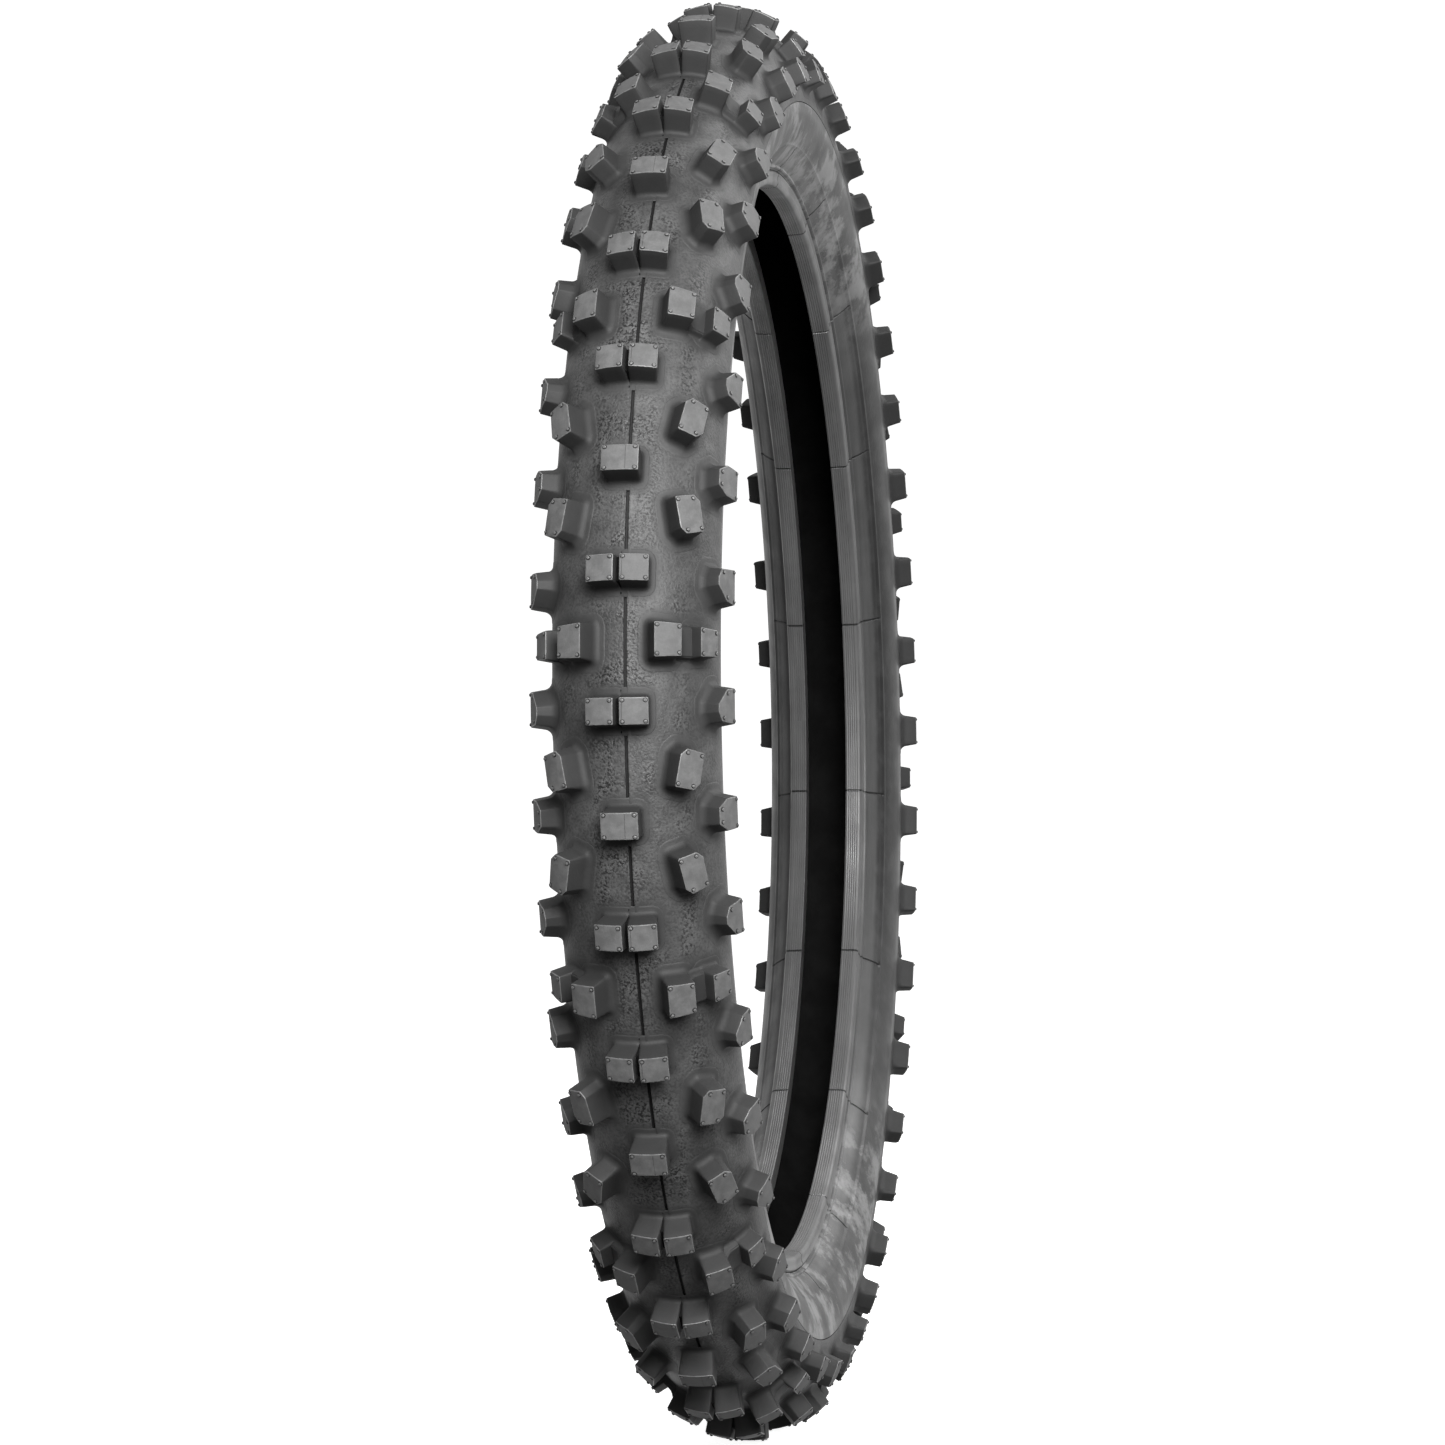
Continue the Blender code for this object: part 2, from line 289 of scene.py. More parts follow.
class Paint:
    """A Principled material and short calls for its nodes."""

    def __init__(self, name, roughness, specular=0.5):
        self.material = bpy.data.materials.new(name)
        self.material.use_nodes = True
        self.tree = self.material.node_tree
        self.shader = self.tree.nodes["Principled BSDF"]
        self.shader.inputs["Roughness"].default_value = roughness
        self.shader.inputs["Specular IOR Level"].default_value = specular
        self.place = self.tree.nodes.new("ShaderNodeTexCoord").outputs["Object"]

    def link(self, source, target):
        if isinstance(source, bpy.types.NodeSocket):
            self.tree.links.new(source, target)
        else:
            target.default_value = source

    def noise(self, scale, detail=3.0, place=None, rough=0.55):
        node = self.tree.nodes.new("ShaderNodeTexNoise")
        node.inputs["Scale"].default_value = scale
        node.inputs["Detail"].default_value = detail
        node.inputs["Roughness"].default_value = rough
        self.link(place or self.place, node.inputs["Vector"])
        return node.outputs["Fac"]

    def cells(self, scale):
        node = self.tree.nodes.new("ShaderNodeTexVoronoi")
        node.inputs["Scale"].default_value = scale
        self.link(self.place, node.inputs["Vector"])
        return node.outputs["Distance"]

    def math(self, operation, first, second=0.0):
        node = self.tree.nodes.new("ShaderNodeMath")
        node.operation = operation
        self.link(first, node.inputs[0])
        self.link(second, node.inputs[1])
        return node.outputs[0]

    def times(self, first, second):
        return self.math("MULTIPLY", first, second)

    def ramp(self, value, low, high, to_low=0.0, to_high=1.0):
        node = self.tree.nodes.new("ShaderNodeMapRange")
        node.interpolation_type = "SMOOTHSTEP"
        self.link(value, node.inputs["Value"])
        for name, number in zip(("From Min", "From Max", "To Min", "To Max"), (low, high, to_low, to_high)):
            node.inputs[name].default_value = number
        return node.outputs["Result"]

    def mix(self, share, first, second):
        node = self.tree.nodes.new("ShaderNodeMix")
        node.data_type = "RGBA"
        self.link(share, node.inputs["Factor"])
        self.link(first, node.inputs["A"])
        self.link(second, node.inputs["B"])
        return node.outputs["Result"]

    def between(self, share, tones):
        """Grey from the first tone to the second."""
        return self.mix(share, grey(tones[0]), grey(tones[1]))

    def coordinate(self, axis):
        """One of the object's own coordinates, in metres."""
        node = self.tree.nodes.new("ShaderNodeSeparateXYZ")
        self.link(self.place, node.inputs[0])
        return node.outputs[axis]

    def wheel_radius(self):
        x = self.coordinate("X")
        z = self.coordinate("Z")
        return self.math("SQRT", self.math("ADD", self.times(x, x), self.times(z, z)))

    def wheel_place(self, around_scale, across_scale):
        """Coordinates that run round the wheel, so that noise can be drawn out along the tread."""
        around = self.math("ARCTAN2", self.coordinate("Z"), self.coordinate("X"))
        join = self.tree.nodes.new("ShaderNodeCombineXYZ")
        self.link(self.times(around, around_scale), join.inputs[0])
        self.link(self.times(self.wheel_radius(), across_scale), join.inputs[1])
        self.link(self.times(self.coordinate("Y"), across_scale), join.inputs[2])
        return join.outputs[0]

    def nearness(self):
        """1 at the foot of a block and in the parting groove, falling to 0 out on the open base; the paints
        darken by it as painted shade.
        """
        node = self.tree.nodes.new("ShaderNodeAttribute")
        node.attribute_name = NEARNESS
        return node.outputs["Fac"]

    def bump(self, height, distance, strength):
        node = self.tree.nodes.new("ShaderNodeBump")
        node.inputs["Distance"].default_value = distance
        node.inputs["Strength"].default_value = strength
        self.link(height, node.inputs["Height"])
        self.link(node.outputs["Normal"], self.shader.inputs["Normal"])

    def finish(self, colour, roughness=None):
        self.link(colour, self.shader.inputs["Base Color"])
        if roughness is not None:
            self.link(roughness, self.shader.inputs["Roughness"])
        return self.material


def grey(value, warm=0.0):
    return (value * (1.0 + warm), value, value * (1.0 - warm), 1.0)


def base_rubber(name="tread_base_rubber"):
    """Tread base and block walls: mottled, with a sandy stipple in bands, darker by the blocks and on their
    walls as painted shade, and near-black in the parting groove as painted shade.
    """
    paint = Paint(name, 0.55, 0.4)
    distance = paint.math("ABSOLUTE", paint.coordinate("Y"))
    centre_band = paint.ramp(distance, *CENTRE_BAND, 1.0, 0.0)
    from_side_band = paint.math("ABSOLUTE", paint.math("SUBTRACT", distance, SIDE_BAND))
    side_band = paint.ramp(from_side_band, *SIDE_BAND_FADE, 1.0, 0.0)
    patches = paint.ramp(paint.noise(60.0, 3.0), 0.40, 0.60)
    near = paint.nearness()
    away = paint.ramp(near, 0.15, 0.75, 1.0, 0.0)
    band = paint.math("MAXIMUM", centre_band, paint.times(side_band, 0.8))
    band = paint.times(band, paint.math("ADD", paint.times(patches, 0.65), 0.35))
    band = paint.times(paint.math("MAXIMUM", band, 0.30), away)
    grain = paint.noise(900.0, 1.0)
    pits = paint.times(paint.ramp(grain, 0.42, 0.46, 1.0, 0.0), paint.times(band, 0.9))
    specks = paint.times(paint.ramp(grain, 0.57, 0.64), paint.times(band, 0.3))
    mottle = paint.ramp(paint.noise(28.0, 4.0), 0.3, 0.7)
    cloud = paint.ramp(paint.noise(150.0, 4.0), 0.3, 0.7)
    colour = paint.between(mottle, BASE_TONE)
    colour = paint.mix(paint.times(cloud, 0.55), colour, grey(BASE_TONE[0] * 0.6))
    colour = paint.mix(pits, colour, grey(PIT_TONE))
    colour = paint.mix(specks, colour, grey(SPECK_TONE))
    # Painted shade: darker towards the feet of the blocks and over their walls.
    colour = paint.mix(paint.ramp(near, 0.02, 1.0, 0.0, 0.88), colour, grey(BLOCK_SHADE_TONE))
    # Painted shade: near-black in the parting groove and below the base.
    colour = paint.mix(paint.ramp(near, 1.1, 1.7), colour, grey(GROOVE_SHADE_TONE))
    paint.bump(paint.times(grain, paint.math("ADD", paint.times(band, 0.9), 0.10)), 0.0006, 0.8)
    return paint.finish(colour, paint.ramp(near, 0.0, 1.0, 0.52, 0.66))


def top_rubber():
    """Block tops: painted paler than the walls and base, as painted light on the faces that catch the lamps,
    with faint cloudy marks.
    """
    paint = Paint("block_top_rubber", 0.65, 0.32)
    cloud = paint.ramp(paint.noise(210.0, 4.0, rough=0.62), 0.3, 0.72)
    fine = paint.ramp(paint.noise(1300.0, 2.0), 0.35, 0.65)
    colour = paint.between(cloud, TOP_TONE)
    colour = paint.mix(paint.times(fine, 0.22), colour, grey(FINE_TOP_TONE))
    paint.bump(paint.noise(1100.0, 3.0), 0.0002, 0.3)
    return paint.finish(colour, paint.ramp(cloud, 0.0, 1.0, 0.60, 0.74))


def slit_shade_rubber():
    """The floor of the slit between two half blocks, near-black as painted shade."""
    paint = Paint("slit_shade_rubber", 0.8, 0.1)
    paint.bump(paint.noise(900.0, 2.0), 0.0002, 0.4)
    return paint.finish(paint.between(paint.noise(400.0, 3.0), SLIT_SHADE_TONE))


def edge_highlight_rubber():
    """The rounded edge of a block, painted paler as a painted highlight."""
    paint = Paint("block_edge_rubber", 0.42, 0.6)
    paint.bump(paint.noise(1400.0, 2.0), 0.0002, 0.3)
    return paint.finish(paint.between(paint.ramp(paint.noise(500.0, 3.0), 0.3, 0.7), EDGE_HIGHLIGHT_TONE))


def sidewall_rubber(name, tones, roughness, marked=True):
    """Satin rubber, faintly drawn round the wheel, and near-black in the vent lines as painted shade. Marked:
    with a darker uneven band and pale patches of painted sheen.
    """
    paint = Paint(name, roughness, 0.55)
    streaks = paint.ramp(paint.noise(1.0, 3.0, paint.wheel_place(5.0, 330.0)), 0.25, 0.75)
    cloud = paint.ramp(paint.noise(48.0, 5.0), 0.3, 0.7)
    colour = paint.between(streaks, tones)
    colour = paint.mix(paint.times(cloud, 0.45), colour, grey(tones[0] * 0.6))
    if marked:
        colour = add_dark_band(paint, colour)
        colour = add_painted_sheen(paint, colour)
    # Painted shade: near-black in the sunk vent lines.
    colour = paint.mix(paint.times(paint.nearness(), 0.9), colour, grey(VENT_LINE_SHADE_TONE))
    paint.bump(paint.math("ADD", paint.noise(850.0, 3.0), cloud), 0.0002, 0.4)
    return paint.finish(colour, paint.ramp(cloud, 0.0, 1.0, roughness - 0.05, roughness + 0.06))


def add_dark_band(paint, colour):
    """A darker, uneven band round the sidewall, below the shoulder."""
    blotch = paint.ramp(paint.noise(1.0, 4.0, paint.wheel_place(30.0, 130.0)), 0.30, 0.60, 0.70, 1.0)
    edge = paint.math("ADD", paint.wheel_radius(), paint.times(blotch, 0.0014))
    inner = paint.ramp(edge, *DARK_BAND_INNER)
    outer = paint.ramp(edge, *DARK_BAND_OUTER, 1.0, 0.0)
    dull = paint.times(paint.times(inner, outer), blotch)
    return paint.mix(paint.times(dull, 0.9), colour, grey(DARK_TONE))


def add_painted_sheen(paint, colour):
    """Pale patches of painted sheen with dark crease lines, at the top and bottom of the wheel."""
    top_and_bottom = paint.ramp(paint.math("ABSOLUTE", paint.coordinate("Z")), *SHEEN_HEIGHT)
    patch_noise = paint.noise(42.0, 6.0, rough=0.68)
    shine = paint.times(paint.ramp(patch_noise, 0.46, 0.62), top_and_bottom)
    from_crease = paint.math("ABSOLUTE", paint.math("SUBTRACT", patch_noise, 0.5))
    crease = paint.times(paint.ramp(from_crease, 0.0, 0.010, 1.0, 0.0), top_and_bottom)
    # Painted sheen: pale patches where the sidewall would catch reflections.
    colour = paint.mix(paint.times(shine, 0.8), colour, grey(SHEEN_TONE))
    return paint.mix(paint.times(crease, 0.8), colour, grey(DARK_TONE))


def cord_fabric(name, lean):
    """Rubbered cord cloth: fine parallel cords laid at an angle."""
    paint = Paint(name, 0.75, 0.3)
    wave = paint.tree.nodes.new("ShaderNodeTexWave")
    wave.inputs["Scale"].default_value = 1.0
    wave.inputs["Distortion"].default_value = 0.4
    turn = paint.tree.nodes.new("ShaderNodeMapping")
    turn.inputs["Rotation"].default_value = (0.0, 0.0, math.radians(lean))
    paint.link(paint.wheel_place(105.0, 310.0), turn.inputs["Vector"])
    paint.link(turn.outputs["Vector"], wave.inputs["Vector"])
    colour = paint.mix(wave.outputs["Fac"], grey(0.025, 0.1), grey(0.09, 0.2))
    paint.bump(wave.outputs["Fac"], 0.0003, 0.6)
    return paint.finish(colour)


def liner_rubber():
    """The inside of the casing: soft black, with the dull print of the moulding bladder."""
    paint = Paint("liner_rubber", 0.8, 0.1)
    cloud = paint.ramp(paint.noise(60.0, 4.0), 0.3, 0.7)
    paint.bump(paint.cells(260.0), 0.0004, 0.4)
    return paint.finish(paint.between(cloud, LINER_TONE))


def filler_rubber(name):
    """Plain hard rubber of the bead filler."""
    paint = Paint(name, 0.6, 0.4)
    paint.bump(paint.noise(800.0, 3.0), 0.0002, 0.4)
    return paint.finish(paint.between(paint.noise(240.0, 3.0), FILLER_TONE))


def bead_wire(name):
    """Bronze-coated wires side by side."""
    paint = Paint(name, 0.35)
    paint.shader.inputs["Metallic"].default_value = 1.0
    strands = paint.ramp(paint.noise(1.0, 2.0, paint.wheel_place(6.0, 1400.0)), 0.35, 0.65)
    colour = paint.mix(strands, (0.30, 0.22, 0.11, 1.0), (0.62, 0.50, 0.30, 1.0))
    paint.bump(strands, 0.0004, 0.7)
    return paint.finish(colour)


def stage_paint():
    """Matte white paper, lit a little from within."""
    paint = Paint("stage_paper", 0.9, 0.1)
    paint.shader.inputs["Emission Color"].default_value = WHITE
    paint.shader.inputs["Emission Strength"].default_value = 0.9
    return paint.finish(paint.between(paint.noise(2.0, 2.0), PAPER_TONE))


# ---------------------------------------------------------------- nearness to the blocks

def convex_distance(points, corners):
    """How far each point lies outside a convex outline, and 0 inside it."""
    corners = np.array(corners, float)
    if np.cross(corners, np.roll(corners, -1, axis=0)).sum() < 0:
        corners = corners[::-1]
    best = np.full(len(points), FAR)
    inside = np.ones(len(points), bool)
    for start, end in zip(corners, np.roll(corners, -1, axis=0)):
        edge = end - start
        offset = points - start
        share = np.clip(offset @ edge / (edge @ edge), 0.0, 1.0)
        best = np.minimum(best, np.linalg.norm(offset - share[:, None] * edge, axis=1))
        inside &= edge[0] * offset[:, 1] - edge[1] * offset[:, 0] >= 0.0
    return np.where(inside, 0.0, best)


def block_distance(along_deg, angle_deg):
    """Distance in mm to the nearest block, from degrees along the tread and degrees from the crown."""
    from_tie = (along_deg - TIE_ROW_DEG + PERIOD_DEG / 2.0) % PERIOD_DEG - PERIOD_DEG / 2.0
    spot = np.stack([np.abs(from_tie), np.abs(angle_deg)], axis=1)
    outlines = [
        [(PAIR_DEG + a, b) for a, b in PAIR_COVER],
        [(SINGLE_DEG + a, b) for a, b in SINGLE_TOP],
        TIE_COVER,
        CHAMFERED_TOP,
        SHOULDER_TOP,
        [(SINGLE_DEG + a, b) for a, b in MID_SHOULDER_TOP],
    ]
    nearest = np.full(len(spot), FAR)
    for outline in outlines:
        corners = np.array(outline, float)
        middle = np.radians(np.abs(corners[:, 1]).mean())
        metric = np.radians(1.0) * np.array([SECTION_CENTRE_R + BASE_ARC * math.cos(middle), FOOT_ARC])
        nearest = np.minimum(nearest, convex_distance(spot * metric, corners * metric))
    return nearest


def mark_nearness(obj):
    """Stores on each vertex how close it is to a block, or GROOVE_MARK below the base, for the painted shade.
    """
    mesh = obj.data
    co = np.zeros(len(mesh.vertices) * 3, np.float32)
    mesh.vertices.foreach_get("co", co)
    co = co.reshape(-1, 3).astype(float) / MM
    radius = np.hypot(co[:, 0], co[:, 2])
    along = np.degrees(np.arctan2(co[:, 2], co[:, 0]))
    angle = np.degrees(np.arctan2(co[:, 1], radius - SECTION_CENTRE_R))
    distance = block_distance(along, angle)
    near = (1.0 - np.clip((distance - SHADE_START) / SHADE_REACH, 0.0, 1.0)) ** SHADE_POWER
    level = np.hypot(co[:, 1], radius - SECTION_CENTRE_R) - BASE_ARC
    near = np.maximum(near, np.where(level < GROOVE_LEVEL, GROOVE_MARK, 0.0))
    layer = mesh.attributes.new(NEARNESS, "FLOAT", "POINT")
    layer.data.foreach_set("value", near.astype(np.float32))


# ---------------------------------------------------------------- rings

def mesh_piece(name, verts, faces, materials, marks=None, sharp_deg=50.0):
    mesh = bpy.data.meshes.new(name)
    mesh.from_pydata(verts, [], faces)
    for material in materials:
        mesh.materials.append(material)
    if marks is not None:
        mesh.polygons.foreach_set("material_index", marks)
    bm = bmesh.new()
    bm.from_mesh(mesh)
    bmesh.ops.recalc_face_normals(bm, faces=bm.faces)
    bm.to_mesh(mesh)
    bm.free()
    mesh.shade_smooth()
    mesh.set_sharp_from_angle(angle=math.radians(sharp_deg))
    obj = bpy.data.objects.new(name, mesh)
    bpy.context.scene.collection.objects.link(obj)
    return obj


def even_stations(steps):
    return [(TIE_ROW_DEG + 360.0 * i / steps, 0.0) for i in range(steps)]


def lined_stations():
    """Even stations, with a narrow sunk line added at each vent line."""
    stations = even_stations(SIDEWALL_STEPS)
    room = 3.0 * VENT_LINE_HALF_DEG
    for line in range(VENT_LINES):
        centre = VENT_LINE_PHASE + 360.0 * line / VENT_LINES
        stations = [s for s in stations if abs((s[0] - centre + 180.0) % 360.0 - 180.0) > room]
        for offset, sink in ((-2.0, 0.0), (-1.0, 1.0), (1.0, 1.0), (2.0, 0.0)):
            stations.append((centre + offset * VENT_LINE_HALF_DEG, sink))
    return sorted(((angle % 360.0), sink) for angle, sink in stations)


def ring_piece(name, outline, material, stations=None, sinks=None, sharp_deg=50.0):
    """A closed outline turned round the axle. sinks: how each outline point moves at a sunk station."""
    stations = stations or even_stations(COARSE_STEPS)
    outline = np.array(outline, float)
    count = len(outline)
    if sinks is None:
        sinks = np.zeros((count, 2))
    rings = []
    for angle_deg, sink in stations:
        angle = math.radians(angle_deg)
        radius, across = (outline + sinks * sink).T
        rings.append(np.stack([radius * math.cos(angle), across, radius * math.sin(angle)], axis=1))
    verts = np.concatenate(rings) * MM
    faces = []
    total = len(stations)
    for s in range(total):
        here = s * count
        there = ((s + 1) % total) * count
        for i in range(count):
            j = (i + 1) % count
            faces.append((here + i, here + j, there + j, there + i))
    piece = mesh_piece(name, verts.tolist(), faces, [material], sharp_deg=sharp_deg)
    crossed = (np.abs(sinks).sum(axis=1) > 0.0).astype(float)
    sunk = np.concatenate([sink * crossed for _, sink in stations])
    if sunk.any():
        layer = piece.data.attributes.new(NEARNESS, "FLOAT", "POINT")
        layer.data.foreach_set("value", sunk.astype(np.float32))
    return piece


def strip_outline(line, thickness):
    """The closed outline of a strip that follows an open line."""
    points = np.array(line, float)
    steps = np.diff(points, axis=0)
    steps /= np.linalg.norm(steps, axis=1)[:, None]
    first = np.vstack([steps[:1], steps])
    second = np.vstack([steps, steps[-1:]])
    bisector = first + second
    bisector /= np.linalg.norm(bisector, axis=1)[:, None]
    normal = np.stack([-bisector[:, 1], bisector[:, 0]], axis=1)
    reach = thickness / 2.0 / np.maximum((bisector * first).sum(axis=1), 0.5)
    near = points + normal * reach[:, None]
    far = points - normal * reach[:, None]
    return [tuple(p) for p in near] + [tuple(p) for p in far[::-1]]


def both_sides(half):
    return [(radius, -across) for radius, across in reversed(half[1:])] + list(half)


def mirrored(outline):
    return [(radius, -across) for radius, across in reversed(outline)]


def smooth_line(table, foot, steps=5):
    """Points from (angle, arc) pairs, each stretch cut finely, and then the foot's own points."""
    points = []
    for (angle0, arc0), (angle1, arc1) in zip(table, table[1:]):
        for i in range(steps):
            share = i / steps
            points.append(arc_point(angle0 + (angle1 - angle0) * share, arc0 + (arc1 - arc0) * share))
    points.append(arc_point(*table[-1]))
    return points + list(foot)


# ---------------------------------------------------------------- blocks

def rounded_outline(corners):
    """For each point of a rounded outline, the point inside that it springs from, and its direction."""
    corners = np.array(corners, float)
    area = np.cross(corners, np.roll(corners, -1, axis=0)).sum()
    if area < 0:
        corners = corners[::-1]
    count = len(corners)
    before = corners - np.roll(corners, 1, axis=0)
    after = np.roll(corners, -1, axis=0) - corners
    before /= np.linalg.norm(before, axis=1)[:, None]
    after /= np.linalg.norm(after, axis=1)[:, None]
    out_before = np.stack([before[:, 1], -before[:, 0]], axis=1)
    out_after = np.stack([after[:, 1], -after[:, 0]], axis=1)
    bisector = out_before + out_after
    bisector /= (bisector * out_before).sum(axis=1)[:, None]
    core = corners - bisector * CORNER
    roots = []
    ways = []
    for i in range(count):
        start = math.atan2(out_before[i][1], out_before[i][0])
        end = math.atan2(out_after[i][1], out_after[i][0])
        turn = (end - start) % (2.0 * math.pi)
        for step in range(CORNER_STEPS + 1):
            angle = start + turn * step / CORNER_STEPS
            roots.append(core[i])
            ways.append((math.cos(angle), math.sin(angle)))
        j = (i + 1) % count
        length = np.linalg.norm(corners[j] - corners[i])
        parts = max(1, int(length / OUTLINE_SPACING))
        for part in range(1, parts):
            roots.append(core[i] + (core[j] - core[i]) * part / parts)
            ways.append(tuple(out_after[i]))
    return np.array(roots), np.array(ways)


class Blocks:
    """Collects the blocks of one family into one mesh."""

    def __init__(self):
        self.verts = []
        self.faces = []
        self.marks = []

    def add_walls(self, loops, marks):
        """Joins loops of equal length, with a mark for each band of faces. Returns the first vertex."""
        start = len(self.verts)
        count = len(loops[0])
        for loop in loops:
            self.verts.extend(map(tuple, loop))
        for ring in range(len(loops) - 1):
            for i in range(count):
                j = (i + 1) % count
                a = start + ring * count
                b = a + count
                self.faces.append((a + i, a + j, b + j, b + i))
                self.marks.append(marks[ring])
        return start

    def add_closed(self, loops, marks, centre, cap_mark=TOP):
        """Loops from the top down, with a fan of faces round the centre and one face underneath."""
        start = self.add_walls(loops, marks)
        count = len(loops[0])
        last = start + (len(loops) - 1) * count
        tip = len(self.verts)
        self.verts.append(tuple(centre))
        for i in range(count):
            self.faces.append((tip, start + (i + 1) % count, start + i))
            self.marks.append(cap_mark)
        self.faces.append(tuple(last + i for i in range(count)))
        self.marks.append(WALL)

    def piece(self, name, materials):
        return mesh_piece(name, self.verts, self.faces, materials, self.marks, sharp_deg=38.0)


def block_profile(height, draft, fillet):
    """(offset, height, mark of the face band that follows) down the side of a block."""
    rows = [(-EDGE, height, ROUNDED), (-EDGE * 0.3, height - EDGE * 0.3, ROUNDED), (0.0, height - EDGE, WALL)]
    foot = draft * (height - fillet) / height
    for share in WALL_SHARES:
        rows.append((foot * share, height - EDGE - (height - EDGE - fillet) * share, WALL))
    for step in range(1, FILLET_STEPS + 1):
        angle = math.radians(FILLET_TURN_DEG) * step / FILLET_STEPS
        rows.append((foot + fillet * (1.0 - math.cos(angle)), fillet * (1.0 - math.sin(angle)) + LEDGE, WALL))
    out = foot + fillet
    for step, drop in APRON:
        rows.append((out + step, LEDGE * (1.0 - drop), WALL))
    rows.append((out, -ROOT_DEPTH, WALL))
    return rows


def add_block(blocks, along_deg, direction, side, top, height, outer=None, draft=1.1, fillet=2.2, dark=False):
    """One block of a kind named at the top of this file. A dark one is the floor of a slit, painted
    near-black as painted shade.
    """
    corners = np.array(top, float)
    middle = (corners.min(axis=0) + corners.max(axis=0)) / 2.0
    radius_here = SECTION_CENTRE_R + METRIC_ARC * math.cos(math.radians(middle[1]))
    metric = np.array([math.radians(1.0) * radius_here, math.radians(1.0) * METRIC_ARC])
    outline = (corners - middle) * metric
    roots, ways = rounded_outline(outline)
    half_across = (corners[:, 1].max() - middle[1]) * metric[1]

    def place(points, level):
        degrees = points / metric + middle
        level = np.broadcast_to(level, (len(points),)).astype(float)
        if outer is not None:
            lean = (points[:, 1] / half_across) * (outer - height) / 2.0 + (outer - height) / 2.0
            level = level + lean * np.clip(level / height, 0.0, 1.0)
        return on_tyre(along_deg + direction * degrees[:, 0], side * degrees[:, 1], level)

    loops = [place(roots * share, height) for share in TOP_RINGS]
    marks = [TOP] * len(TOP_RINGS)
    for offset, level, mark in block_profile(height, draft, fillet):
        drop = 1.0 - max(min(level / height, 1.0), 0.0)
        points = (roots + ways * (CORNER + offset)) * np.array([1.0, 1.0 + FLARE * drop])
        loops.append(place(points, level))
        marks.append(mark)
    centre = place(np.zeros((1, 2)), height)[0]
    if dark:
        blocks.add_closed(loops, [SLIT] * len(marks), centre, SLIT)
    else:
        blocks.add_closed(loops, marks, centre)
        add_pips(blocks, outline, place, height)


def pip_spots(corners):
    """Spots near the corners of a block's top, at most four: the ones farthest from its middle."""
    inward = corners * (1.0 - PIP_INSET / np.linalg.norm(corners, axis=1))[:, None]
    if len(corners) == 4:
        return inward
    order = np.argsort(-np.linalg.norm(corners, axis=1))[:4]
    return inward[order]


def add_pips(blocks, corners, place, height):
    """Small raised marks where the mould's vents end."""
    around = np.linspace(0.0, 2.0 * math.pi, PIP_SIDES, endpoint=False)
    circle = np.stack([np.cos(around), np.sin(around)], axis=1)
    for spot in pip_spots(corners):
        loops = [place(spot + circle * radius, height + level) for radius, level in PIP_PROFILE]
        blocks.add_closed(loops, PIP_MARKS, place(spot[None, :], height + PIP_TIP)[0])


def saddle_section(height):
    """(half width, height) down one side of the saddle."""
    half = 6.1
    draft = 0.7
    fillet = 2.2
    arc_steps = 4
    section = [(half - 0.9, height), (half - 0.3, height - 0.12), (half, height - 0.6)]
    section += [(half + draft * 0.5, (height + fillet) / 2.0), (half + draft, fillet)]
    for step in range(1, arc_steps + 1):
        angle = math.pi / 2.0 * step / arc_steps
        out = half + draft + fillet * (1.0 - math.cos(angle))
        section.append((out, fillet * (1.0 - math.sin(angle))))
    section.append((half + draft + fillet, -1.2))
    return section


def add_saddle(blocks, along_deg, side):
    """The round-bottomed bar that joins a tie row's two blocks."""
    loops = []
    for angle_deg in np.linspace(SADDLE_FROM_DEG, SADDLE_TO_DEG, SADDLE_STATIONS):
        bend = max(SADDLE_DEG - angle_deg, 0.0) / SADDLE_BEND_DEG
        section = saddle_section(min(SADDLE_HEIGHT + SADDLE_RISE * bend * bend, SADDLE_MOST))
        radius_here = SECTION_CENTRE_R + METRIC_ARC * math.cos(math.radians(angle_deg))
        spread = [-s[0] for s in reversed(section)] + [s[0] for s in section]
        levels = [s[1] for s in reversed(section)] + [s[1] for s in section]
        degrees = along_deg + np.degrees(np.array(spread) / radius_here)
        loops.append(on_tyre(degrees, np.full(len(spread), side * angle_deg), np.array(levels)))
    start = blocks.add_walls(loops, [WALL] * len(loops))
    count = len(loops[0])
    last = start + (len(loops) - 1) * count
    blocks.faces.append(tuple(start + i for i in range(count)))
    blocks.faces.append(tuple(last + i for i in reversed(range(count))))
    blocks.marks.extend([WALL, WALL])


def add_seam(blocks, along_deg, height):
    """The mould's parting line where it crosses a block's top: a hair of flash."""
    loops = []
    for level, half_width in SEAM_PROFILE:
        angles = PARTING_TOP_DEG + np.array([-1.0, 1.0, 1.0, -1.0]) * half_width
        alongs = along_deg + np.array([-1.0, -1.0, 1.0, 1.0]) * SEAM_HALF_DEG
        loops.append(on_tyre(alongs, angles, np.full(4, height + level)))
    blocks.add_closed(loops, [WALL] * len(loops), loops[0].mean(axis=0))


def add_pair(blocks, along_deg):
    """Two half blocks with a shallow slit between them."""
    for side in (-1.0, 1.0):
        add_block(blocks, along_deg, 1.0, side, **HALF_PAIR)
    add_block(blocks, along_deg, 1.0, 1.0, **SLIT_FLOOR)
    add_seam(blocks, along_deg, HALF_PAIR["height"])


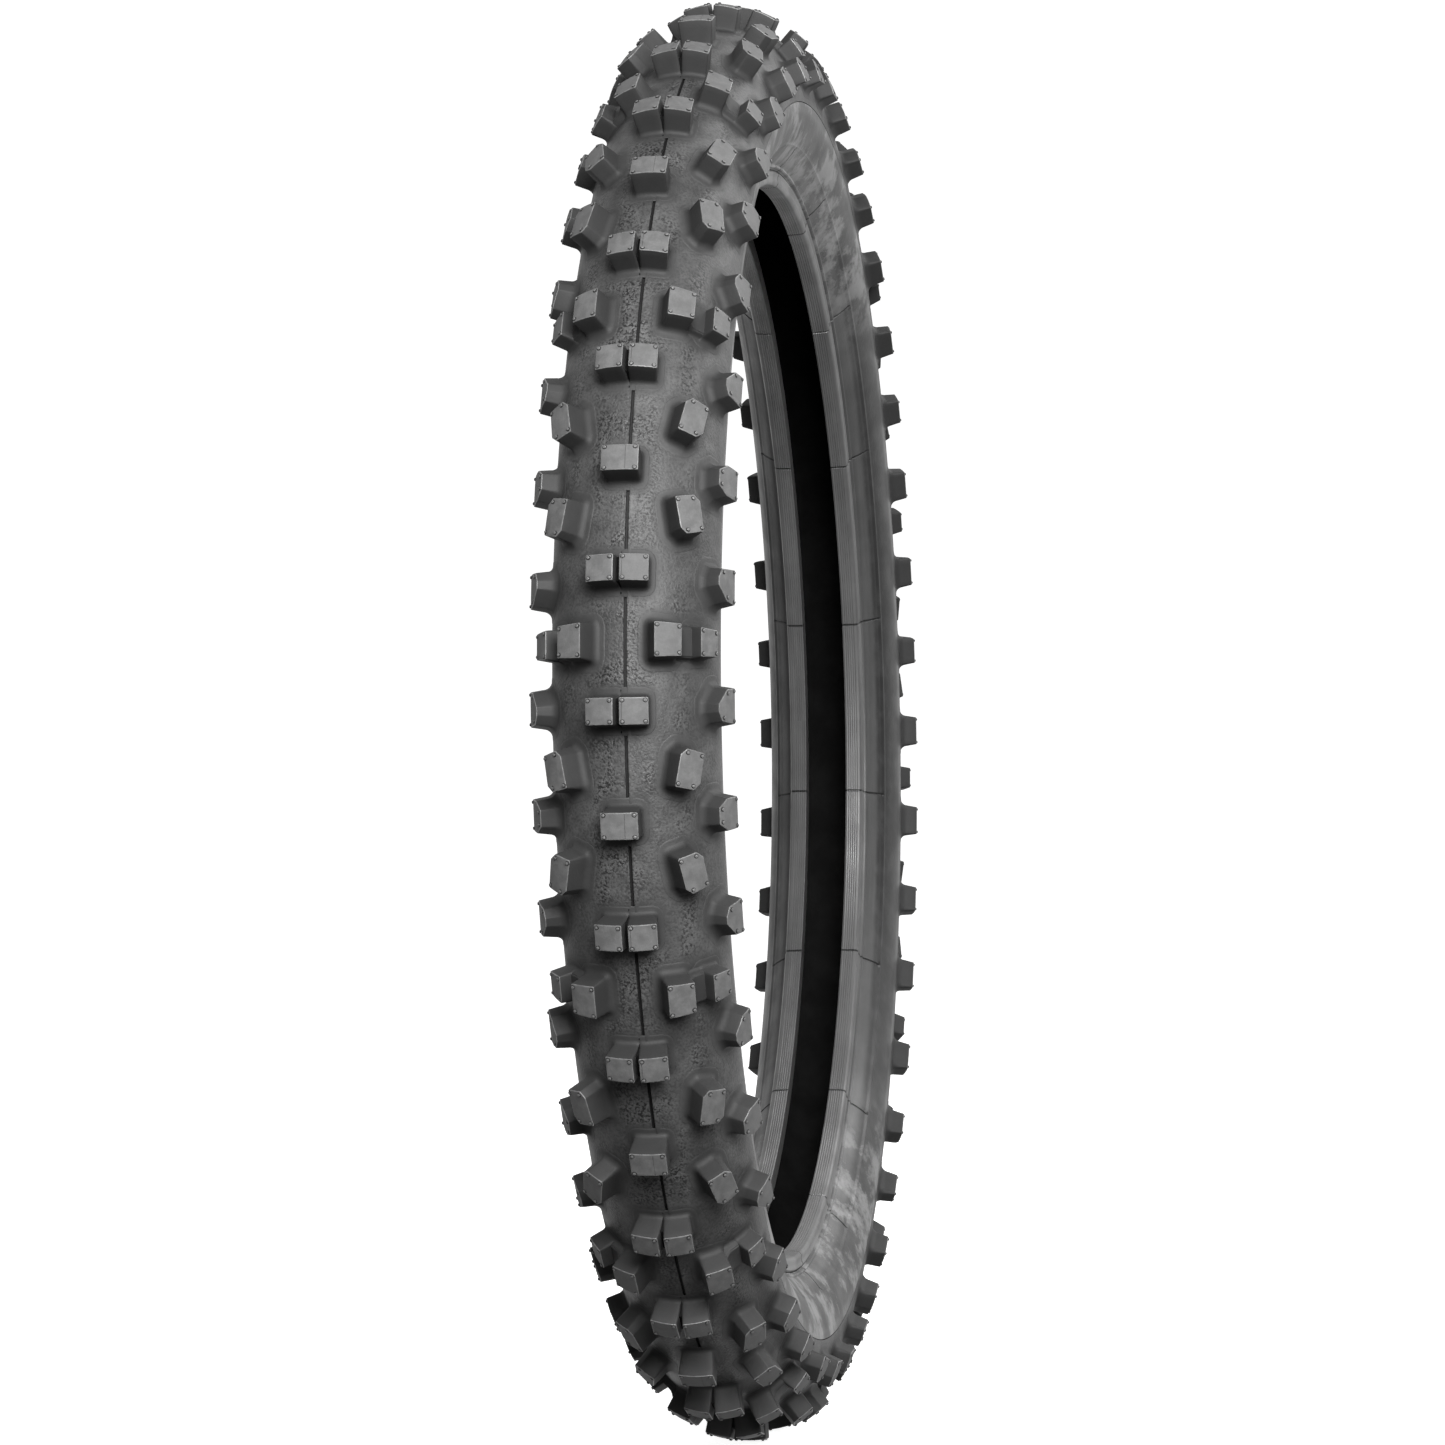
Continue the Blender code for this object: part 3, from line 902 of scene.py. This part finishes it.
def build_blocks(paints):
    """The whole pattern, one mesh for each family of blocks."""
    centre = Blocks()
    ties = Blocks()
    chamfered = Blocks()
    shoulders = Blocks()
    for period in range(PERIODS):
        tie = TIE_ROW_DEG + period * PERIOD_DEG
        middle = tie + SINGLE_DEG
        add_block(centre, middle, 1.0, 1.0, **SINGLE)
        add_seam(centre, middle, SINGLE["height"])
        for side in (-1.0, 1.0):
            add_block(ties, tie, 1.0, side, **TIE_INNER)
            add_block(ties, tie, 1.0, side, **TIE_OUTER)
            add_saddle(ties, tie, side)
            add_block(shoulders, middle, 1.0, side, **MID_SHOULDER)
        for direction in (-1.0, 1.0):
            add_pair(centre, tie + direction * PAIR_DEG)
            for side in (-1.0, 1.0):
                add_block(chamfered, tie, direction, side, **CHAMFERED)
                add_block(shoulders, tie, direction, side, **SHOULDER)
    pieces = [
        centre.piece("tread_centre_blocks", paints),
        ties.piece("tread_tie_rows", paints),
        chamfered.piece("tread_chamfered_blocks", paints),
        shoulders.piece("tread_shoulder_blocks", paints),
    ]
    for piece in pieces:
        mark_nearness(piece)
    return pieces


# ---------------------------------------------------------------- the tyre's own rings

def tread_base_outline():
    """Outside from one shoulder to the other, with the mould's parting groove, and back along the inside."""
    outside = arc_points(-90.0, PARTING_DEG - 1.8, 46, BASE_ARC)
    for angle_deg, height in PARTING_SHAPE:
        outside.append(arc_point(PARTING_DEG + angle_deg, BASE_ARC + height))
    outside += arc_points(PARTING_DEG + 4.0, 90.0, 44, BASE_ARC)
    inside = both_sides(smooth_line(TREAD_INSIDE, (), 3))
    return outside + inside[::-1]


def sidewall_outline():
    """Outside from the shoulder seam down to the rim line, and back up the inside."""
    outside = arc_points(90.6, 124.0, 16, BASE_ARC)
    inside = [arc_point(*spot) for spot in SIDEWALL_INSIDE_ARC]
    return outside + list(SIDEWALL_FOOT) + list(SIDEWALL_INSIDE) + inside


def chafer_outline():
    """The bead's cover: rim flank, heel, tapered seat with its fine ribs, toe and the inner flank."""
    seat = []
    for rib in range(SEAT_RIBS):
        across = 17.6 - rib * 1.15
        taper = rib * 0.07
        seat += [(261.70 - taper, across), (261.45 - taper, across - 0.3), (261.70 - taper, across - 0.6)]
    return [*CHAFER_FLANK, *CHAFER_HEEL, *seat, *CHAFER_TOE, *CHAFER_INSIDE]


def vent_sinks(outline, depth, radii, inside):
    """How each outside point between the radii moves at a vent line: in, towards VENT_AIM."""
    points = np.array(outline, float)
    middle = np.array([VENT_AIM[0], VENT_AIM[1] * np.sign(points[:, 1].mean())])
    way = middle - points
    way /= np.linalg.norm(way, axis=1)[:, None]
    within = (points[:, 0] > radii[0]) & (points[:, 0] < radii[1])
    outer = np.array([(radius, abs(across)) not in inside for radius, across in outline])
    return way * (depth * (within & outer))[:, None]


def build_side(side, turn):
    """The rings of one side. turn lays an outline of the right side where it belongs."""
    stations = lined_stations()
    outline = turn(sidewall_outline())
    sinks = vent_sinks(outline, SIDEWALL_VENT_DEPTH, SIDEWALL_VENT_RADII, SIDEWALL_INSIDE)
    rubber = sidewall_rubber("sidewall_rubber_" + side, SIDEWALL_TONE, 0.46)
    wall = ring_piece("sidewall_skin_" + side, outline, rubber, stations, sinks, 35.0)
    outline = turn(chafer_outline())
    sinks = vent_sinks(outline, CHAFER_VENT_DEPTH, CHAFER_VENT_RADII, CHAFER_INSIDE)
    rubber = sidewall_rubber("bead_rubber_" + side, BEAD_TONE, 0.40, marked=False)
    chafer = ring_piece("bead_skin_" + side, outline, rubber, stations, sinks, 35.0)
    core = ring_piece("bead_bundle_" + side, turn(BEAD_CORE_SECTION), bead_wire("bead_wire_" + side))
    rubber = filler_rubber("filler_rubber_" + side)
    filler = ring_piece("bead_apex_" + side, turn(BEAD_FILLER_SECTION), rubber)
    return [
        (wall, "sidewall_" + side, "sidewall_rubber"),
        (chafer, "chafer_" + side, "chafer_rubber"),
        (core, "bead_core_" + side, "bead_wire"),
        (filler, "bead_filler_" + side, "filler_rubber"),
    ]


def layer_piece(name, line, foot, thickness, material):
    """A thin layer that runs from bead to bead, or as far as its line goes."""
    outline = strip_outline(both_sides(smooth_line(line, foot)), thickness)
    return ring_piece(name, outline, material)


def build_rings():
    """(piece, node it replaces, slot) for every ring."""
    stations = even_stations(FINE_STEPS)
    tread = ring_piece("tread_base", tread_base_outline(), base_rubber(), stations, sharp_deg=40.0)
    mark_nearness(tread)
    built = [(tread, "tread", "tread_rubber")]
    built += build_side("left", mirrored)
    built += build_side("right", list)
    cord = cord_fabric("breaker_cord", 25.0)
    breaker = layer_piece("breaker_layer", BREAKER_LINE, (), PLY_THICKNESS, cord)
    built.append((breaker, "breaker_ply", "ply_fabric"))
    cord = cord_fabric("outer_ply_cord", 35.0)
    outer = layer_piece("casing_layer_outer", OUTER_PLY_LINE, OUTER_PLY_FOOT, PLY_THICKNESS, cord)
    built.append((outer, "casing_ply_outer", "ply_fabric"))
    cord = cord_fabric("inner_ply_cord", -35.0)
    inner = layer_piece("casing_layer_inner", INNER_PLY_LINE, INNER_PLY_FOOT, PLY_THICKNESS, cord)
    built.append((inner, "casing_ply_inner", "ply_fabric"))
    liner = layer_piece("liner_layer", LINER_LINE, LINER_FOOT, LINER_THICKNESS, liner_rubber())
    built.append((liner, "inner_liner", "liner_rubber"))
    return built


# ---------------------------------------------------------------- stage, light and camera

def add_floor():
    """A pale paper sweep: floor, a round bend and a wall far behind."""
    line = [(SWEEP_FRONT, 0.0)]
    for angle in np.linspace(0.0, math.pi / 2.0, 13):
        line.append((-SWEEP_DEPTH - SWEEP_BEND * math.sin(angle), SWEEP_BEND - SWEEP_BEND * math.cos(angle)))
    line.append((-SWEEP_DEPTH - SWEEP_BEND, SWEEP_TOP))
    verts = []
    for x, z in line:
        verts += [(x, -SWEEP_HALF_WIDTH, FLOOR_Z + z), (x, SWEEP_HALF_WIDTH, FLOOR_Z + z)]
    faces = [(2 * i, 2 * i + 1, 2 * i + 3, 2 * i + 2) for i in range(len(line) - 1)]
    floor = mesh_piece("stage_floor", verts, faces, [stage_paint()])
    floor.visible_diffuse = False
    floor.visible_glossy = False


def add_area(name, place, size, power):
    """A rectangular light that faces the middle of the wheel."""
    light = bpy.data.lights.new(name, "AREA")
    light.shape = "RECTANGLE"
    light.size = size[0]
    light.size_y = size[1]
    light.energy = power
    lamp = bpy.data.objects.new(name, light)
    bpy.context.scene.collection.objects.link(lamp)
    lamp.location = place
    lamp.rotation_euler = (-Vector(place)).to_track_quat("-Z", "Y").to_euler()


def add_world():
    """White paper behind the tyre and a dim room in front of it; the camera sees plain white."""
    world = bpy.data.worlds.new("studio_world")
    world.use_nodes = True
    nodes = world.node_tree.nodes
    links = world.node_tree.links
    way = nodes.new("ShaderNodeSeparateXYZ")
    links.new(nodes.new("ShaderNodeTexCoord").outputs["Generated"], way.inputs[0])
    fade = nodes.new("ShaderNodeMapRange")
    fade.interpolation_type = "SMOOTHSTEP"
    fade.inputs["From Min"].default_value = 0.0
    fade.inputs["From Max"].default_value = BACK_LIGHT_AT
    fade.inputs["To Min"].default_value = FRONT_LIGHT
    fade.inputs["To Max"].default_value = BACK_LIGHT
    links.new(way.outputs["X"], fade.inputs["Value"])
    soft = nodes["Background"]
    soft.inputs["Color"].default_value = WHITE
    links.new(fade.outputs["Result"], soft.inputs["Strength"])
    white = nodes.new("ShaderNodeBackground")
    white.inputs["Color"].default_value = WHITE
    white.inputs["Strength"].default_value = SEEN_WHITE
    path = nodes.new("ShaderNodeLightPath")
    mix = nodes.new("ShaderNodeMixShader")
    links.new(path.outputs["Is Camera Ray"], mix.inputs["Fac"])
    links.new(soft.outputs[0], mix.inputs[1])
    links.new(white.outputs[0], mix.inputs[2])
    links.new(mix.outputs[0], nodes["World Output"].inputs["Surface"])
    bpy.context.scene.world = world


def add_camera():
    yaw = math.radians(CAMERA_YAW_DEG)
    roll = math.radians(CAMERA_ROLL_DEG)
    back = Vector((math.cos(yaw), math.sin(yaw), 0.0))
    level = Vector((-math.sin(yaw), math.cos(yaw), 0.0))
    up = Vector((0.0, 0.0, 1.0))
    right = level * math.cos(roll) + up * math.sin(roll)
    rise = up * math.cos(roll) - level * math.sin(roll)
    data = bpy.data.cameras.new("photo_camera")
    data.lens = CAMERA_LENS
    data.sensor_width = CAMERA_SENSOR
    data.shift_x = CAMERA_SHIFT[0]
    data.shift_y = CAMERA_SHIFT[1]
    data.clip_end = CAMERA_REACH
    camera = bpy.data.objects.new("photo_camera", data)
    bpy.context.scene.collection.objects.link(camera)
    turn = Matrix((right, rise, back)).transposed().to_4x4()
    camera.matrix_world = Matrix.Translation(back * CAMERA_DISTANCE) @ turn
    bpy.context.scene.camera = camera


def build():
    add_camera()
    for light in LIGHTS:
        add_area(*light)
    add_world()
    add_floor()
    bpy.context.scene.view_settings.view_transform = "Standard"
    # Block paints: walls with painted shade, tops painted paler as painted light, rounded edges with a
    # painted highlight, slit floors near-black as painted shade.
    paints = [base_rubber("block_wall_rubber"), top_rubber(), edge_highlight_rubber(), slit_shade_rubber()]
    pieces = build_rings()
    pieces += [(blocks, "tread", "tread_rubber") for blocks in build_blocks(paints)]
    for piece, node, slot in pieces:
        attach(piece, "root")
        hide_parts(node)


build()
